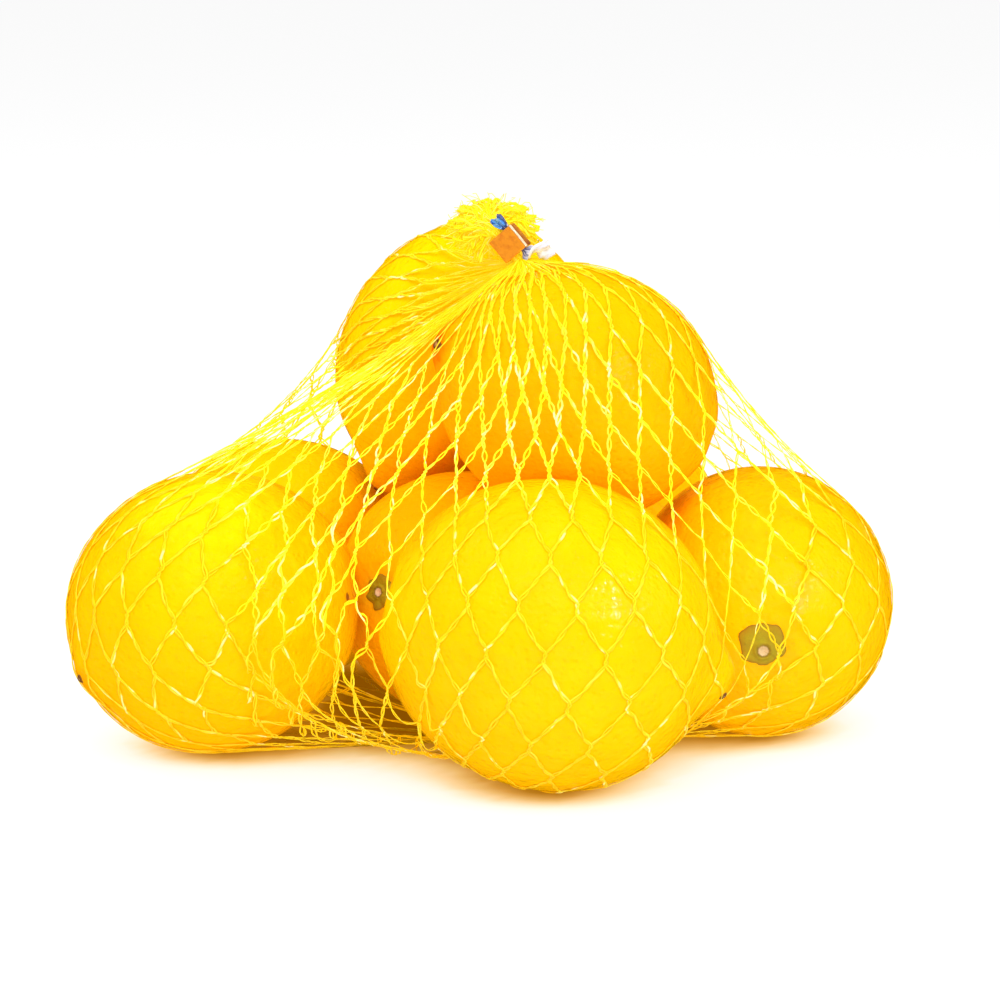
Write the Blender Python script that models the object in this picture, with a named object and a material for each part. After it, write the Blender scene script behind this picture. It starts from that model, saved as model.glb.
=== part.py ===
"""Net of lemons: a knitted plastic net bag pulled tight over a heap of lemons,
its neck closed by a folded metal clip that also holds a strip of label film.

Metres, +Z up, +X across the long side, +Y towards the back.
The heap stands on z = 0 with the middle of its footprint at x = y = 0.
The filled net is one solid out to its true lumpy form: the net's skin lies on
every lemon it touches and runs straight across the hollows between them.
"""
import bpy
import bmesh
import math
import numpy as np
from mathutils import Vector

# ------------------------------------------------------------------ sizes (m)
MM = 0.001
SHIFT = (3.56 * MM, -55.25 * MM)          # moves the heap so its footprint is centred

NET_SKIN = 0.6 * MM                   # knitted net lying on the peel

# Each lemon: centre, long axis (towards the nipple), half length of the body,
# radius across, and how far the nipple stands out beyond the body.
LEMONS = {
    "front":       ((10.2, 0.0, 32.0),    (0.968, -0.050, -0.245), 33.8, 31.2, 3.6),
    "left":        ((-59.6, 30.9, 29.9),  (-0.800, -0.500, -0.330), 30.8, 29.0, 1.4),
    "right":       ((54.7, 46.2, 28.7),   (0.000, 0.992, 0.123), 31.0, 28.0, 3.4),
    "middle":      ((-7.2, 58.8, 27.5),   (0.620, 0.760, -0.180), 29.4, 26.6, 3.0),
    "upper_right": ((16.1, 42.5, 73.8),   (-0.930, -0.120, 0.340), 29.4, 26.4, 2.6),
    "upper_left":  ((-8.5, 91.7, 73.6),   (-0.515, -0.160, -0.840), 31.4, 26.7, 2.6),
    "back_left":   ((-48.0, 98.0, 27.3),  (-0.880, 0.450, 0.150), 29.6, 26.5, 3.2),
    "back_right":  ((19.7, 112.8, 28.7),  (0.900, 0.350, 0.100), 31.4, 28.0, 3.4),
}
NIPPLE_RADIUS = 5.0 * MM

# Skin of the filled net
AROUND = 68                           # points round the neck
DOWN = 50                             # rows from the neck to the middle of the base
HEAP_MIDDLE = (-2.0, 56.0, 46.0)       # a point well inside the heap, mm
TIGHTEN_STEPS = 900
DRAW_DOWN = (0.60, 0.42)              # pull along the net: near the neck, near the base
DRAW_ROUND = (0.02, 0.24)             # pull round the heap: near the neck, near the base
SPACING = 0.22                        # keeps the rows evenly spread
SAG = 0.10 * MM                       # the underside settles on the ground
BASE_SNAP = 0.6 * MM                  # net lower than this lies flat on the ground

# Clip: a metal band folded into a flat ring round the neck
CLIP_MIDDLE = (2.1, 52.0, 104.2)      # mm
CLIP_AXIS = (-0.640, 0.147, 0.756)    # the neck runs along this through the ring
CLIP_FACE = (-0.295, -0.952, -0.024)  # outward direction of its broad front face
CLIP_LONG = 5.7 * MM                  # along the neck
CLIP_WIDE = 6.4 * MM                  # across the front face
CLIP_DEEP = 3.7 * MM                  # front to back
CLIP_SHEET = 0.55 * MM
CLIP_CORNER = 0.75 * MM
CLIP_SEAM = 0.5 * MM                  # gap where the band's two ends meet at the back

# Neck and frayed end of the net
NECK_WIDE = 1.35 * MM                 # half width inside the clip
NECK_DEEP = 0.80 * MM
TUFT_RADIUS = 8.6 * MM
TUFT_RUFFLES = 7

# Label film
FILM_THICK = 0.30 * MM
FILM_WIDE = 1.25 * MM                  # width inside the clip
FILM_TOP_LONG = 4.4 * MM
FILM_LOW_LONG = 7.2 * MM


def vec(p):
    return np.array(p, float)


def unit(v):
    v = vec(v)
    return v / np.linalg.norm(v)


def placed(p_mm):
    """A place given in mm, moved into the part's own frame in metres."""
    return vec(p_mm) * MM + vec((SHIFT[0], SHIFT[1], 0.0))


# ------------------------------------------------------------- clear the scene
for old in list(bpy.data.objects):
    bpy.data.objects.remove(old, do_unlink=True)


def material(name, colour, rough, metal):
    mat = bpy.data.materials.new(name)
    mat.use_nodes = True
    shader = mat.node_tree.nodes["Principled BSDF"]
    shader.inputs["Base Color"].default_value = (*colour, 1.0)
    shader.inputs["Roughness"].default_value = rough
    shader.inputs["Metallic"].default_value = metal
    mat.diffuse_color = (*colour, 1.0)
    return mat


def make_object(name, mesh, mat):
    obj = bpy.data.objects.new(name, mesh)
    bpy.context.collection.objects.link(obj)
    mesh.materials.append(mat)
    return obj


def closed_rings(name, rings, first_cap, last_cap, mat, smooth=True):
    """A closed body from rings of equal length; a cap point closes each end."""
    bm = bmesh.new()
    rows = [[bm.verts.new(p) for p in ring] for ring in rings]
    n = len(rows[0])
    for upper, lower in zip(rows[:-1], rows[1:]):
        for j in range(n):
            k = (j + 1) % n
            bm.faces.new((upper[j], lower[j], lower[k], upper[k]))
    for row, cap, flip in ((rows[0], first_cap, False), (rows[-1], last_cap, True)):
        tip = bm.verts.new(cap)
        for j in range(n):
            k = (j + 1) % n
            bm.faces.new((row[k], row[j], tip) if flip else (row[j], row[k], tip))
    bmesh.ops.triangulate(bm, faces=[f for f in bm.faces if len(f.verts) > 3],
                          quad_method='SHORT_EDGE')
    bmesh.ops.recalc_face_normals(bm, faces=bm.faces)
    mesh = bpy.data.meshes.new(name)
    bm.to_mesh(mesh)
    bm.free()
    for poly in mesh.polygons:
        poly.use_smooth = smooth
    return make_object(name, mesh, mat)


# -------------------------------------------------------------- lemons as forms
def lemon_frames():
    frames = []
    for centre, axis, half, radius, nipple in LEMONS.values():
        frames.append((placed(centre), unit(axis), half * MM, radius * MM, nipple * MM))
    return frames


def push_outside(points, lemons, skin):
    """Move every point that is inside a lemon out to the net lying on its peel."""
    for centre, axis, half, radius, nipple in lemons:
        rel = points - centre
        along = rel @ axis
        across = np.linalg.norm(rel - along[:, None] * axis, axis=1)
        level = np.sqrt((along / (half + skin)) ** 2 + (across / (radius + skin)) ** 2)
        inside = level < 1.0
        points[inside] = centre + rel[inside] / np.maximum(level[inside], 0.05)[:, None]
        tip = centre + axis * (half + nipple - NIPPLE_RADIUS)
        rel = points - tip
        dist = np.linalg.norm(rel, axis=1)
        inside = dist < NIPPLE_RADIUS + skin
        points[inside] = tip + rel[inside] / np.maximum(dist[inside], 1e-5)[:, None] \
            * (NIPPLE_RADIUS + skin)
    return points


# ---------------------------------------------------------------- neck and clip
clip_mid = placed(CLIP_MIDDLE)
clip_axis = unit(CLIP_AXIS)
clip_face = vec(CLIP_FACE) - (vec(CLIP_FACE) @ clip_axis) * clip_axis
clip_face = unit(clip_face)
clip_side = np.cross(clip_axis, clip_face)     # towards the ring's right-hand side

# the net's neck runs through the left part of the ring, the film through the right
neck_offset = -clip_side * 0.90 * MM + clip_face * 0.10 * MM
neck_in = clip_mid + neck_offset - clip_axis * (CLIP_LONG / 2 + 1.3 * MM)
neck_out = clip_mid + neck_offset + clip_axis * (CLIP_LONG / 2 + 0.6 * MM)


def neck_ring(centre, normal, wide, deep, ruffle=0.0, phase=0.0, lead=None):
    """One ring round the neck; its first point always looks the same way."""
    normal = unit(normal)
    first = clip_side if lead is None else vec(lead)
    first = unit(first - (first @ normal) * normal)
    second = np.cross(normal, first)
    ring = []
    for j in range(AROUND):
        a = 2 * math.pi * j / AROUND
        swell = 1.0 + ruffle * math.sin(TUFT_RUFFLES * a + phase) \
            + 0.45 * ruffle * math.sin((2 * TUFT_RUFFLES - 3) * a + 2.1 * phase)
        ring.append(centre + first * (wide * swell * math.cos(a))
                    + second * (deep * swell * math.sin(a)))
    return np.array(ring)


def tightened_skin():
    """The net as an elastic skin drawn over the heap, tied at the neck."""
    lemons = lemon_frames()
    middle = placed(HEAP_MIDDLE)
    top_ring = neck_ring(neck_in, clip_axis, NECK_WIDE * 1.02, NECK_DEEP * 1.15)
    pole = unit(neck_in - middle)
    lead = unit(clip_side - (clip_side @ pole) * pole)
    other = np.cross(pole, lead)

    rows = np.zeros((DOWN, AROUND, 3))
    for i in range(DOWN):
        theta = math.pi * (i + 0.35) / (DOWN + 0.35)
        for j in range(AROUND):
            a = 2 * math.pi * j / AROUND
            way = math.cos(theta) * pole + math.sin(theta) * (
                math.cos(a) * lead + math.sin(a) * other)
            reach = max((c - middle) @ way + r for c, _, _, r, _ in lemons)
            rows[i, j] = middle + way * reach
    rows[0] = top_ring
    end = rows[-1].mean(axis=0)
    rows[:, :, 2] = np.maximum(rows[:, :, 2], 0.0)

    blend = np.clip((np.arange(1, DOWN - 1) / (DOWN - 1.0) - 0.42) / 0.30, 0.0, 1.0)[:, None, None]
    draw_down = DRAW_DOWN[0] + (DRAW_DOWN[1] - DRAW_DOWN[0]) * blend
    draw_round = DRAW_ROUND[0] + (DRAW_ROUND[1] - DRAW_ROUND[0]) * blend
    for step in range(TIGHTEN_STEPS):
        above = rows[:-2]
        below = rows[2:]
        beside = 0.5 * (np.roll(rows, 1, axis=1) + np.roll(rows, -1, axis=1))
        new = rows.copy()
        here = rows[1:-1]
        run = below - above
        round_ = np.roll(here, -1, axis=1) - np.roll(here, 1, axis=1)
        outward = np.cross(run, round_)
        outward /= np.maximum(np.linalg.norm(outward, axis=2, keepdims=True), 1e-12)
        spread = beside[1:-1] - here
        bend = (spread * outward).sum(axis=2, keepdims=True) * outward
        new[1:-1] = here + draw_down * (0.5 * (above + below) - here) \
            + SPACING * (spread - bend) + draw_round * bend
        new[-1] = 0.25 * rows[-2] + 0.25 * end + 0.5 * beside[-1]
        new[0] = top_ring
        low = new[:, :, 2] < 6 * MM
        new[:, :, 2] = np.where(low, new[:, :, 2] - SAG, new[:, :, 2])
        flat = new[1:].reshape(-1, 3)
        flat = push_outside(flat, lemons, NET_SKIN)
        flat[:, 2] = np.maximum(flat[:, 2], 0.0)
        new[1:] = flat.reshape(new[1:].shape)
        rows = new
        end = rows[-1].mean(axis=0)
    rows[:, :, 2] = np.where(rows[:, :, 2] < BASE_SNAP, 0.0, rows[:, :, 2])
    end[2] = 0.0
    return rows, end


def build_net():
    rows, end = tightened_skin()
    rings = [rows[i] for i in range(DOWN - 1, 0, -1)]        # base up to the neck
    rings.append(rows[0])
    # through the clip
    for f in (0.25, 0.6, 1.0):
        centre = neck_in + (neck_out - neck_in) * f
        wide = NECK_WIDE
        deep = NECK_DEEP * (1.05 if f == 0.25 else 1.0)
        rings.append(neck_ring(centre, clip_axis, wide, deep))
    # frayed end: opens out, leans back and closes over as a ruffled rosette
    up_back = unit((0.36, 0.66, 0.66))
    stages = 9
    centre = neck_out.copy()
    way = clip_axis.copy()
    for s in range(1, stages + 1):
        f = s / stages
        way = unit((1.0 - f) * (clip_axis - 0.55 * clip_face - 0.15 * clip_side) + f * 1.6 * up_back)
        centre = centre + way * (0.66 * MM)
        opening = math.sin(min(1.0, f * 1.12) * math.pi / 2) ** 2.3
        reach = NECK_WIDE + (TUFT_RADIUS - NECK_WIDE) * opening
        lift = 0.80 + 0.12 * math.sin(3.0 * f)
        rings.append(neck_ring(centre, way, reach, reach * lift,
                               ruffle=0.11 * f, phase=0.4 + 1.5 * f))
    for f, rise in ((0.86, 1.1), (0.60, 1.5), (0.32, 1.1)):
        centre = centre + way * (rise * 0.62 * MM)
        rings.append(neck_ring(centre, way, TUFT_RADIUS * f, TUFT_RADIUS * f * 0.86,
                               ruffle=0.10, phase=2.2 + f))
    tip = centre + way * (0.25 * MM)
    end_cap = end
    return closed_rings("net_bag", rings, end_cap, tip,
                        material("net_yellow", (0.90, 0.62, 0.01), 0.42, 0.0))


# ------------------------------------------------------------------------- clip
def build_clip():
    """A rounded flat ring with its two ends curled in towards each other."""
    half_w = CLIP_WIDE / 2
    half_d = CLIP_DEEP / 2
    path = []                                            # middle line of the sheet
    corner = CLIP_CORNER
    inset = CLIP_SHEET / 2

    def arc(cx, cy, start, turn, count):
        for k in range(count + 1):
            a = math.radians(start + turn * k / count)
            path.append((cx + (corner - inset) * math.cos(a),
                         cy + (corner - inset) * math.sin(a)))

    # starts at the seam on the back, goes round by the left, front and right
    path.append((-CLIP_SEAM / 2 - 0.05 * MM, -half_d + inset + 0.30 * MM))
    path.append((-CLIP_SEAM / 2 - 0.45 * MM, -half_d + inset + 0.05 * MM))
    path.append((-CLIP_SEAM / 2 - 1.10 * MM, -half_d + inset))
    arc(-half_w + corner, -half_d + corner, 270, -90, 4)
    arc(-half_w + corner, half_d - corner, 180, -90, 4)
    arc(half_w - corner, half_d - corner, 90, -90, 4)
    arc(half_w - corner, -half_d + corner, 0, -90, 4)
    path.append((CLIP_SEAM / 2 + 1.10 * MM, -half_d + inset))
    path.append((CLIP_SEAM / 2 + 0.45 * MM, -half_d + inset + 0.05 * MM))
    path.append((CLIP_SEAM / 2 + 0.05 * MM, -half_d + inset + 0.30 * MM))

    pts = [vec((x, y, 0)) for x, y in path]
    outer, inner = [], []
    for k, p in enumerate(pts):
        before = pts[max(0, k - 1)]
        after = pts[min(len(pts) - 1, k + 1)]
        run = unit(after - before)
        side = vec((-run[1], run[0], 0.0))
        outer.append(p + side * CLIP_SHEET / 2)
        inner.append(p - side * CLIP_SHEET / 2)

    stations = (-0.5, -0.46, 0.0, 0.46, 0.5)
    bm = bmesh.new()
    rows = []
    for st in stations:
        edge = abs(st) > 0.49
        row = []
        for o, i_ in zip(outer, inner):
            mid = (o + i_) / 2
            thin = 0.72 if edge else 1.0
            press = 0.10 * MM * math.cos(math.pi * st) if o[1] > 0 else 0.0
            for q in (mid + (o - mid) * thin, mid + (i_ - mid) * thin):
                place = clip_mid + clip_side * q[0] + clip_face * (q[1] - press) \
                    + clip_axis * (CLIP_LONG * st)
                row.append(bm.verts.new(place))
        rows.append(row)
    n = len(outer)
    for a, b in zip(rows[:-1], rows[1:]):
        for k in range(n - 1):
            bm.faces.new((a[2 * k], b[2 * k], b[2 * k + 2], a[2 * k + 2]))
            bm.faces.new((a[2 * k + 1], a[2 * k + 3], b[2 * k + 3], b[2 * k + 1]))
        bm.faces.new((a[0], a[1], b[1], b[0]))
        bm.faces.new((a[-2], b[-2], b[-1], a[-1]))
    for row in (rows[0], rows[-1]):
        for k in range(n - 1):
            bm.faces.new((row[2 * k], row[2 * k + 2], row[2 * k + 3], row[2 * k + 1]))
    bmesh.ops.triangulate(bm, faces=bm.faces)
    bmesh.ops.recalc_face_normals(bm, faces=bm.faces)
    mesh = bpy.data.meshes.new("clip")
    bm.to_mesh(mesh)
    bm.free()
    return make_object("clip", mesh, material("copper_coat", (0.72, 0.27, 0.07), 0.28, 0.85))


# ------------------------------------------------------------------------- film
def build_film():
    """A thin strip that runs through the clip beside the neck; both ends stick
    out, the upper one short and folded, the lower one longer and fanned."""
    across = 6
    line = []                                           # (centre, width dir, width, pleat)
    start = clip_mid + clip_side * 1.64 * MM + clip_face * 0.50 * MM
    half = CLIP_LONG / 2
    right = unit((0.88, -0.38, 0.44))
    low_end = start - clip_axis * (half + 0.2 * MM)
    steps_low, steps_in, steps_top = 9, 3, 7
    centre = low_end.copy()
    low = []
    for s in range(1, steps_low + 1):
        f = s / steps_low
        way = unit(-(1 - f) ** 3 * clip_axis + (0.3 + f) * right + 0.4 * (1 - f) * clip_face)
        centre = centre + way * (FILM_LOW_LONG / steps_low)
        wide = FILM_WIDE + (3.9 * MM - FILM_WIDE) * min(1.0, 1.3 * f) - 1.1 * MM * max(0.0, f - 0.7)
        span = unit((1 - f) * (-clip_side) + f * unit((0.16, -0.25, 0.92)))
        low.append((centre.copy(), span, wide, 0.42 * MM * math.sin(math.pi * min(1, f * 1.2)), way))
    for item in reversed(low):
        line.append(item)
    for s in range(steps_in + 1):
        f = s / steps_in
        line.append((low_end + (start + clip_axis * half - low_end) * f, -clip_side,
                     FILM_WIDE, 0.0, -clip_axis))
    centre = start + clip_axis * half
    for s in range(1, steps_top + 1):
        f = s / steps_top
        way = unit(clip_axis + (0.55 + 0.45 * f) * clip_face - 0.25 * f * clip_side)
        centre = centre + way * (FILM_TOP_LONG / steps_top)
        wide = FILM_WIDE + 1.9 * MM * math.sin(math.pi * min(1.0, 0.62 * f + 0.05))
        line.append((centre.copy(), -clip_side, wide,
                     0.40 * MM * math.sin(2.2 * f), -way))
    bm = bmesh.new()
    sheets = []
    for r, (c, span, wide, pleat, way) in enumerate(line):
        span = unit(span - (span @ way) * way)
        normal = unit(np.cross(span, way))
        top, bottom = [], []
        for k in range(across + 1):
            u = k / across - 0.5
            fold = pleat * math.sin(2 * math.pi * 1.5 * u + 0.5 * r)
            mid = c + span * (wide * u) + normal * fold
            top.append(bm.verts.new(mid + normal * FILM_THICK / 2))
            bottom.append(bm.verts.new(mid - normal * FILM_THICK / 2))
        sheets.append((top, bottom))
    for (t0, b0), (t1, b1) in zip(sheets[:-1], sheets[1:]):
        for k in range(across):
            bm.faces.new((t0[k], t0[k + 1], t1[k + 1], t1[k]))
            bm.faces.new((b0[k], b1[k], b1[k + 1], b0[k + 1]))
        bm.faces.new((t0[0], t1[0], b1[0], b0[0]))
        bm.faces.new((t0[-1], b0[-1], b1[-1], t1[-1]))
    for top, bottom in (sheets[0], sheets[-1]):
        for k in range(across):
            bm.faces.new((top[k], bottom[k], bottom[k + 1], top[k + 1]))
    bmesh.ops.triangulate(bm, faces=bm.faces)
    bmesh.ops.recalc_face_normals(bm, faces=bm.faces)
    mesh = bpy.data.meshes.new("label_film")
    bm.to_mesh(mesh)
    bm.free()
    for poly in mesh.polygons:
        poly.use_smooth = True
    return make_object("label_film", mesh, material("film_white", (0.78, 0.80, 0.86), 0.30, 0.0))


build_net()
build_clip()
build_film()
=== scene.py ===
"""Looks of the net of lemons: eight lemons in a knitted yellow net, tightened over them here
by a small rope simulation, its gathered neck, frayed end, metal clip and strip of film."""
import bpy
import math
import numpy as np
from mathutils import Matrix, Vector


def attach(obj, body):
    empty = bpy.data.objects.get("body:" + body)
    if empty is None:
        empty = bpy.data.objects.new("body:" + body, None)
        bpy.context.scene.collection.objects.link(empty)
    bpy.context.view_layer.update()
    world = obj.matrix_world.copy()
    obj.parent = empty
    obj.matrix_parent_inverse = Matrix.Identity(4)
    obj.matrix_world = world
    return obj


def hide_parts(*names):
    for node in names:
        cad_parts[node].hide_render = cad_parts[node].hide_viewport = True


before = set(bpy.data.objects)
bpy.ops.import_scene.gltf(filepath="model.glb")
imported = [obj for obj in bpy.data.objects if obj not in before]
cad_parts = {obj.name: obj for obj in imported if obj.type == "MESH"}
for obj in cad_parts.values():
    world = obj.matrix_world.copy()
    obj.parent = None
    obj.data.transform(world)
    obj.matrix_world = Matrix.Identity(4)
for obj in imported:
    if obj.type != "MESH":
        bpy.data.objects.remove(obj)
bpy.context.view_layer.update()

MM = 0.001
SHIFT = np.array([3.56, -55.25, 0.0])      # mm, as in the CAD
rng = np.random.default_rng(41)


def unit(v):
    v = np.asarray(v, float)
    return v / np.linalg.norm(v)


def unit_rows(v):
    return v / np.maximum(np.linalg.norm(v, axis=-1, keepdims=True), 1e-9)


# =============================================================== the lemons, mm
# centre, long axis (towards the nipple), half length, radius, nipple stand-out
LEMONS = {
    "front":       ((10.2, 0.0, 32.0),    (0.968, -0.050, -0.245), 33.8, 31.2, 3.6),
    "left":        ((-59.6, 30.9, 29.9),  (-0.800, -0.500, -0.330), 30.8, 29.0, 1.4),
    "right":       ((54.7, 46.2, 28.7),   (0.000, 0.992, 0.123), 31.0, 28.0, 3.4),
    "middle":      ((-7.2, 58.8, 27.5),   (0.620, 0.760, -0.180), 29.4, 26.6, 3.0),
    "upper_right": ((16.1, 42.5, 73.8),   (-0.930, -0.120, 0.340), 29.4, 26.4, 2.6),
    "upper_left":  ((-8.5, 91.7, 73.6),   (-0.515, -0.160, -0.840), 31.4, 26.7, 2.6),
    "back_left":   ((-48.0, 98.0, 27.3),  (-0.880, 0.450, 0.150), 29.6, 26.5, 3.2),
    "back_right":  ((19.7, 112.8, 28.7),  (0.900, 0.350, 0.100), 31.4, 28.0, 3.4),
}


class Lemon:
    """An uneven lemon: a body of revolution with a nipple, a dimpled stem end and its own soft lumps."""

    def __init__(self, name, centre, axis, half, radius, nipple, seed):
        self.name = name
        self.c = np.array(centre) + SHIFT
        self.z = unit(axis)
        helper = np.array([0.0, 0.0, 1.0]) if abs(self.z[2]) < 0.8 else np.array([0.0, 1.0, 0.0])
        self.x = unit(np.cross(helper, self.z))
        self.y = np.cross(self.z, self.x)
        self.half, self.radius, self.nipple = half, radius, nipple
        r = np.random.default_rng(seed)
        self.waves = unit_rows(r.normal(size=(9, 3))) * r.uniform(2.2, 6.5, (9, 1))
        self.phase = r.uniform(0, 6.28, 9)
        self.amp = r.uniform(0.5, 1.0, 9) * 0.16 / (0.5 + np.linalg.norm(self.waves, axis=1) / 5)
        self.ribs = int(r.integers(4, 7))
        self.rib_phase = r.uniform(0, 6.28)
        self.lean = r.normal(size=2) * 0.03            # the nipple sits a little off the axis

    def reach(self, d):
        """Distance from the middle to the peel along unit directions d, in the lemon's own frame."""
        c = np.clip(d[..., 2], -1, 1)
        s2 = 1 - c * c
        r = 1 / np.sqrt((c / self.half) ** 2 + s2 / self.radius ** 2)
        phi = np.arctan2(d[..., 1], d[..., 0])
        s = np.sqrt(np.maximum(s2, 0))
        for w, p, a in zip(self.waves, self.phase, self.amp):
            r = r + a * np.sin(d @ w + p)
        tip = np.hypot(d[..., 0] - self.lean[0], d[..., 1] - self.lean[1])
        front = c > 0
        hill = np.where(front, np.exp(-(tip / 0.17) ** 2), 0)
        collar = np.where(front, np.exp(-((tip - 0.34) / 0.13) ** 2), 0)
        r = r + hill * (self.nipple + 0.3) - collar * 0.35 * min(1.0, self.nipple / 3)
        back = np.where(c < 0, 1.0, 0.0)
        r = r + back * (0.55 * np.exp(-((s - 0.26) / 0.12) ** 2) - 1.0 * np.exp(-(s / 0.13) ** 2))
        ends = s * np.exp(-(s / 0.36) ** 2) * 2.2
        r = r + ends * 0.22 * np.sin(self.ribs * phi + self.rib_phase)
        return r

    def local(self, p):
        v = p - self.c
        return np.stack([v @ self.x, v @ self.y, v @ self.z], -1)

    def world(self, q):
        return self.c + q[..., :1] * self.x + q[..., 1:2] * self.y + q[..., 2:3] * self.z


lemons = [Lemon(k, *v, seed=300 + 7 * n) for n, (k, v) in enumerate(LEMONS.items())]


def on_peel(lemon, way):
    """The place on a lemon's peel in a direction from its middle."""
    q = lemon.local(lemon.c + unit(way))
    q = q / np.linalg.norm(q)
    return lemon.world(q[None] * lemon.reach(q[None])[..., None])[0]


# =========================================================== meshes from arrays
def mesh_object(name, verts_mm, faces, material, smooth=True, tints=None, pick=None):
    """faces: an integer array (n, 3) or (n, 4), or a list of such arrays. material may be a list, with
    pick giving each face's place in it."""
    groups = faces if isinstance(faces, list) else [faces]
    me = bpy.data.meshes.new(name)
    verts = np.ascontiguousarray(verts_mm, dtype=np.float64) * MM
    me.vertices.add(len(verts))
    me.vertices.foreach_set("co", verts.astype(np.float32).ravel())
    loops = np.concatenate([g.ravel() for g in groups]).astype(np.int32)
    sizes = np.concatenate([np.full(len(g), g.shape[1], np.int32) for g in groups])
    starts = np.concatenate([[0], np.cumsum(sizes)[:-1]]).astype(np.int32)
    me.loops.add(len(loops))
    me.loops.foreach_set("vertex_index", loops)
    me.polygons.add(len(sizes))
    me.polygons.foreach_set("loop_start", starts)
    me.polygons.foreach_set("loop_total", sizes)
    me.polygons.foreach_set("use_smooth", np.full(len(sizes), smooth))
    me.update(calc_edges=True)
    if tints is not None:
        layer = me.attributes.new("tint", "FLOAT", "POINT")
        layer.data.foreach_set("value", np.asarray(tints, np.float32).ravel())
    for one in (material if isinstance(material, list) else [material]):
        me.materials.append(one)
    if pick is not None:
        me.polygons.foreach_set("material_index", np.asarray(pick, np.int32))
    ob = bpy.data.objects.new(name, me)
    bpy.context.scene.collection.objects.link(ob)
    return ob


# ==================================================================== materials
class Nodes:
    def __init__(self, name):
        self.mat = bpy.data.materials.new(name)
        self.mat.use_nodes = True
        self.tree = self.mat.node_tree
        self.shader = self.tree.nodes["Principled BSDF"]

    def add(self, kind, **props):
        n = self.tree.nodes.new(kind)
        for k, v in props.items():
            setattr(n, k, v)
        return n

    def link(self, a, b):
        self.tree.links.new(a, b)

    def ramp(self, fac, stops, interpolation="LINEAR"):
        n = self.add("ShaderNodeValToRGB")
        n.color_ramp.interpolation = interpolation
        els = n.color_ramp.elements
        while len(els) < len(stops):
            els.new(0.5)
        for e, (pos, col) in zip(els, stops):
            e.position = pos
            e.color = (*col, 1.0) if len(col) == 3 else col
        self.link(fac, n.inputs[0])
        return n.outputs[0]

    def noise(self, vector, scale, detail=2.0, rough=0.5):
        n = self.add("ShaderNodeTexNoise")
        n.inputs["Scale"].default_value = scale
        n.inputs["Detail"].default_value = detail
        n.inputs["Roughness"].default_value = rough
        self.link(vector, n.inputs["Vector"])
        return n.outputs["Fac"]

    def mix(self, fac, a, b, blend="MIX"):
        n = self.add("ShaderNodeMix", data_type="RGBA", blend_type=blend)
        for socket, value in ((n.inputs[0], fac), (n.inputs[6], a), (n.inputs[7], b)):
            if isinstance(value, (int, float)):
                socket.default_value = value
            elif isinstance(value, tuple):
                socket.default_value = (*value, 1.0)
            else:
                self.link(value, socket)
        return n.outputs[2]

    def math(self, op, a, b=None):
        n = self.add("ShaderNodeMath", operation=op)
        for socket, value in ((n.inputs[0], a), (n.inputs[1], b)):
            if value is None:
                continue
            if isinstance(value, (int, float)):
                socket.default_value = value
            else:
                self.link(value, socket)
        return n.outputs[0]

    def bump(self, height, strength, distance):
        n = self.add("ShaderNodeBump")
        n.inputs["Strength"].default_value = strength
        n.inputs["Distance"].default_value = distance
        self.link(height, n.inputs["Height"])
        return n


# a glow in every peel: painted light that keeps the shaded sides of the lemons bright
PEEL_PAINTED_GLOW = 0.17


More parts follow.
